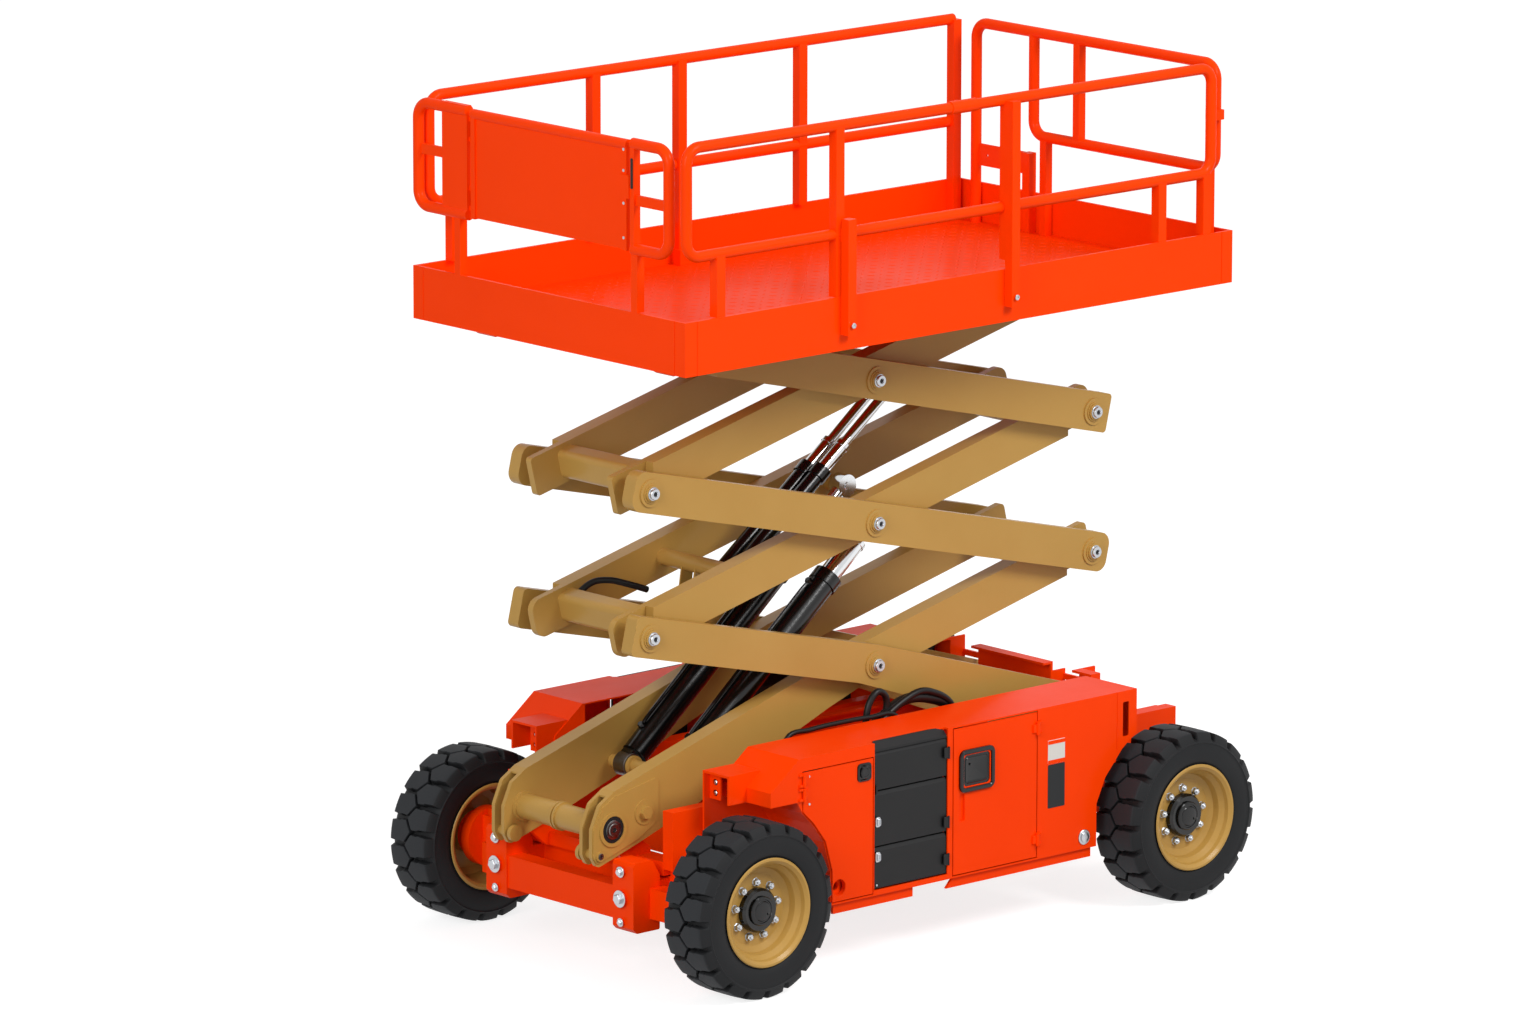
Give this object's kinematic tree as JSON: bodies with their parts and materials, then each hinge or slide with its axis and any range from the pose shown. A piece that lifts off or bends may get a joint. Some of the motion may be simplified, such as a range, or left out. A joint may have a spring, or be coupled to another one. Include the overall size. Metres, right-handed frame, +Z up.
{
  "type": "scissor lift",
  "caption": "Self-propelled rough-terrain scissor lift: railed platform with gate on a stack of crossed arms, raised by telescopic cylinders from a boxed chassis on large steered tyres.",
  "frame": {"origin": "on the ground below the middle of the machine, halfway between the axles", "axes": "+X from the gate end (steered wheels) to the rear end, +Y away from the side with the slatted cover that faced the camera, +Z up"},
  "size_m": [2.9759, 1.87, 3.347],
  "materials": {
    "orange_paint": "gloss orange-red powder coat",
    "tan_paint": "satin tan powder coat",
    "black_paint": "gloss black paint",
    "chrome": "hard chrome",
    "dark_metal": "dark cast metal",
    "roller_plastic": "matt black wear plastic",
    "tyre_rubber": "matt black rubber"
  },
  "bodies": {
    "chassis": {"frame_rails": "orange_paint", "front_cross_member": "orange_paint", "frame_cross_members": "orange_paint", "rear_end_wall": "orange_paint", "side_box_near": "orange_paint", "side_box_far": "orange_paint", "vent_stacks": "black_paint", "engine_block": "dark_metal", "tank_block": "dark_metal", "steer_axle": "orange_paint", "rear_axle": "orange_paint"},
    "front_door_near": {"steer_end_door_near": "orange_paint"},
    "front_door_far": {"steer_end_door_far": "orange_paint"},
    "rear_door_near": {"rear_end_door_near": "orange_paint"},
    "rear_door_far": {"rear_end_door_far": "orange_paint"},
    "knuckle_near_body": {"knuckle_near": "orange_paint"},
    "knuckle_far_body": {"knuckle_far": "orange_paint"},
    "wheel_steer_near": {"tyre_steer_near": "tyre_rubber", "rim_steer_near": "tan_paint", "hub_cap_steer_near": "black_paint"},
    "wheel_steer_far": {"tyre_steer_far": "tyre_rubber", "rim_steer_far": "tan_paint", "hub_cap_steer_far": "black_paint"},
    "wheel_rear_near": {"tyre_rear_near": "tyre_rubber", "rim_rear_near": "tan_paint", "hub_cap_rear_near": "black_paint"},
    "wheel_rear_far": {"tyre_rear_far": "tyre_rubber", "rim_rear_far": "tan_paint", "hub_cap_rear_far": "black_paint"},
    "inner_1": {"inner_arms_1": "tan_paint", "inner_crosses_1": "tan_paint"},
    "outer_1": {"outer_arms_1": "tan_paint", "foot_rollers": "roller_plastic"},
    "inner_2": {"inner_arms_2": "tan_paint", "inner_crosses_2": "tan_paint"},
    "outer_2": {"outer_arms_2": "tan_paint"},
    "inner_3": {"inner_arms_3": "tan_paint", "inner_crosses_3": "tan_paint", "head_rollers": "roller_plastic"},
    "outer_3": {"outer_arms_3": "tan_paint"},
    "lower_barrels": {"lower_lift_barrels": "black_paint"},
    "lower_stages": {"lower_lift_stages": "chrome"},
    "lower_rods": {"lower_lift_rods": "chrome"},
    "upper_barrels": {"upper_lift_barrels": "black_paint"},
    "upper_stages": {"upper_lift_stages": "chrome"},
    "upper_rods": {"upper_lift_rods": "chrome"},
    "platform": {"platform_deck": "orange_paint", "platform_beams": "orange_paint", "head_tracks": "orange_paint", "platform_cross_members": "orange_paint", "rail_near": "orange_paint", "rail_far": "orange_paint", "rail_end": "orange_paint", "rail_gate_post": "orange_paint", "rail_latch_post": "orange_paint"},
    "gate_body": {"gate": "orange_paint"}
  },
  "joints": [
    {"name": "lift", "type": "hinge", "parent": "chassis", "child": "inner_1", "pos_m": [-1.385, 0, 0.597], "axis": [0, -1, 0], "range_deg": [-9.77, 44]},
    {"name": "scissor_1", "type": "hinge", "parent": "inner_1", "child": "outer_1", "pos_m": [-0.067, 0, 1.057], "axis": [0, -1, 0], "range_deg": [-88.01, 19.55]},
    {"name": "scissor_ends_1", "type": "hinge", "parent": "outer_1", "child": "inner_2", "pos_m": [-1.2445, 0, 1.342], "axis": [0, -1, 0], "range_deg": [-19.55, 88.01]},
    {"name": "scissor_2", "type": "hinge", "parent": "inner_2", "child": "outer_2", "pos_m": [-0.067, 0, 1.627], "axis": [0, -1, 0], "range_deg": [-88.01, 19.55]},
    {"name": "scissor_ends_2", "type": "hinge", "parent": "outer_2", "child": "inner_3", "pos_m": [-1.2445, 0, 1.912], "axis": [0, -1, 0], "range_deg": [-19.55, 88.01]},
    {"name": "scissor_3", "type": "hinge", "parent": "inner_3", "child": "outer_3", "pos_m": [-0.067, 0, 2.197], "axis": [0, -1, 0], "range_deg": [-88.01, 19.55]},
    {"name": "platform_level", "type": "hinge", "parent": "outer_3", "child": "platform", "pos_m": [-0.831, 0, 2.45], "axis": [0, -1, 0], "range_deg": [-9.78, 44.01]},
    {"name": "lower_cylinder_pivot", "type": "hinge", "parent": "inner_1", "child": "lower_barrels", "pos_m": [-0.925, 0, 0.705], "axis": [0, -1, 0], "range_deg": [-0.21, 0.89]},
    {"name": "lower_stage_slide", "type": "slide", "parent": "lower_barrels", "child": "lower_stages", "axis": [0.7666, 0, 0.6422], "range_m": [-0.1586, 0.7124]},
    {"name": "lower_rod_slide", "type": "slide", "parent": "lower_stages", "child": "lower_rods", "axis": [0.7666, 0, 0.6422], "range_m": [-0.1586, 0.7124]},
    {"name": "upper_cylinder_pivot", "type": "hinge", "parent": "inner_2", "child": "upper_barrels", "pos_m": [-0.69, 0, 1.303], "axis": [0, -1, 0], "range_deg": [-0.21, 0.89]},
    {"name": "upper_stage_slide", "type": "slide", "parent": "upper_barrels", "child": "upper_stages", "axis": [0.7932, 0, 0.6089], "range_m": [-0.1156, 0.5189]},
    {"name": "upper_rod_slide", "type": "slide", "parent": "upper_stages", "child": "upper_rods", "axis": [0.7932, 0, 0.6089], "range_m": [-0.1156, 0.5189]},
    {"name": "steering_near", "type": "hinge", "parent": "chassis", "child": "knuckle_near_body", "pos_m": [-1.143, -0.65, 0.345], "axis": [0, 0, 1], "range_deg": [-30, 30]},
    {"name": "steering_far", "type": "hinge", "parent": "chassis", "child": "knuckle_far_body", "pos_m": [-1.143, 0.65, 0.345], "axis": [0, 0, 1], "range_deg": [-30.01, 30.01]},
    {"name": "wheel_steer_near_spin", "type": "hinge", "parent": "knuckle_near_body", "child": "wheel_steer_near", "pos_m": [-1.143, -0.8125, 0.345], "axis": [0, 1, 0], "continuous": true},
    {"name": "wheel_rear_near_spin", "type": "hinge", "parent": "chassis", "child": "wheel_rear_near", "pos_m": [1.143, -0.8125, 0.345], "axis": [0, 1, 0], "continuous": true},
    {"name": "steer_end_door_near_hinge", "type": "hinge", "parent": "chassis", "child": "front_door_near", "pos_m": [-0.829, -0.7883, 0.761], "axis": [0, 0, -1], "range_deg": [0, 90]},
    {"name": "rear_end_door_near_hinge", "type": "hinge", "parent": "chassis", "child": "rear_door_near", "pos_m": [0.413, -0.7883, 0.575], "axis": [0, 0, 1], "range_deg": [0, 105]},
    {"name": "wheel_steer_far_spin", "type": "hinge", "parent": "knuckle_far_body", "child": "wheel_steer_far", "pos_m": [-1.143, 0.8125, 0.345], "axis": [0, 1, 0], "continuous": true},
    {"name": "wheel_rear_far_spin", "type": "hinge", "parent": "chassis", "child": "wheel_rear_far", "pos_m": [1.143, 0.8125, 0.345], "axis": [0, 1, 0], "continuous": true},
    {"name": "steer_end_door_far_hinge", "type": "hinge", "parent": "chassis", "child": "front_door_far", "pos_m": [-0.829, 0.7883, 0.761], "axis": [0, 0, 1], "range_deg": [0, 90]},
    {"name": "rear_end_door_far_hinge", "type": "hinge", "parent": "chassis", "child": "rear_door_far", "pos_m": [0.413, 0.7883, 0.575], "axis": [0, 0, -1], "range_deg": [0, 105]},
    {"name": "gate_hinge", "type": "hinge", "parent": "platform", "child": "gate_body", "pos_m": [-1.414, 0.451, 3.105], "axis": [0, 0, 1], "range_deg": [0, 90]}
  ],
  "couplings": [
    {"joint": "scissor_1", "follows": "lift", "ratio": -2},
    {"joint": "scissor_ends_1", "follows": "lift", "ratio": 2},
    {"joint": "scissor_2", "follows": "lift", "ratio": -2},
    {"joint": "scissor_ends_2", "follows": "lift", "ratio": 2},
    {"joint": "scissor_3", "follows": "lift", "ratio": -2},
    {"joint": "platform_level", "follows": "lift", "ratio": 1},
    {"joint": "lower_cylinder_pivot", "follows": "lift", "ratio": 0.02},
    {"joint": "lower_stage_slide", "follows": "lift", "m_per_rad": 0.927},
    {"joint": "lower_rod_slide", "follows": "lift", "m_per_rad": 0.927},
    {"joint": "upper_cylinder_pivot", "follows": "lift", "ratio": 0.02},
    {"joint": "upper_stage_slide", "follows": "lift", "m_per_rad": 0.675},
    {"joint": "upper_rod_slide", "follows": "lift", "m_per_rad": 0.675},
    {"joint": "steering_far", "follows": "steering_near", "ratio": 1}
  ]
}
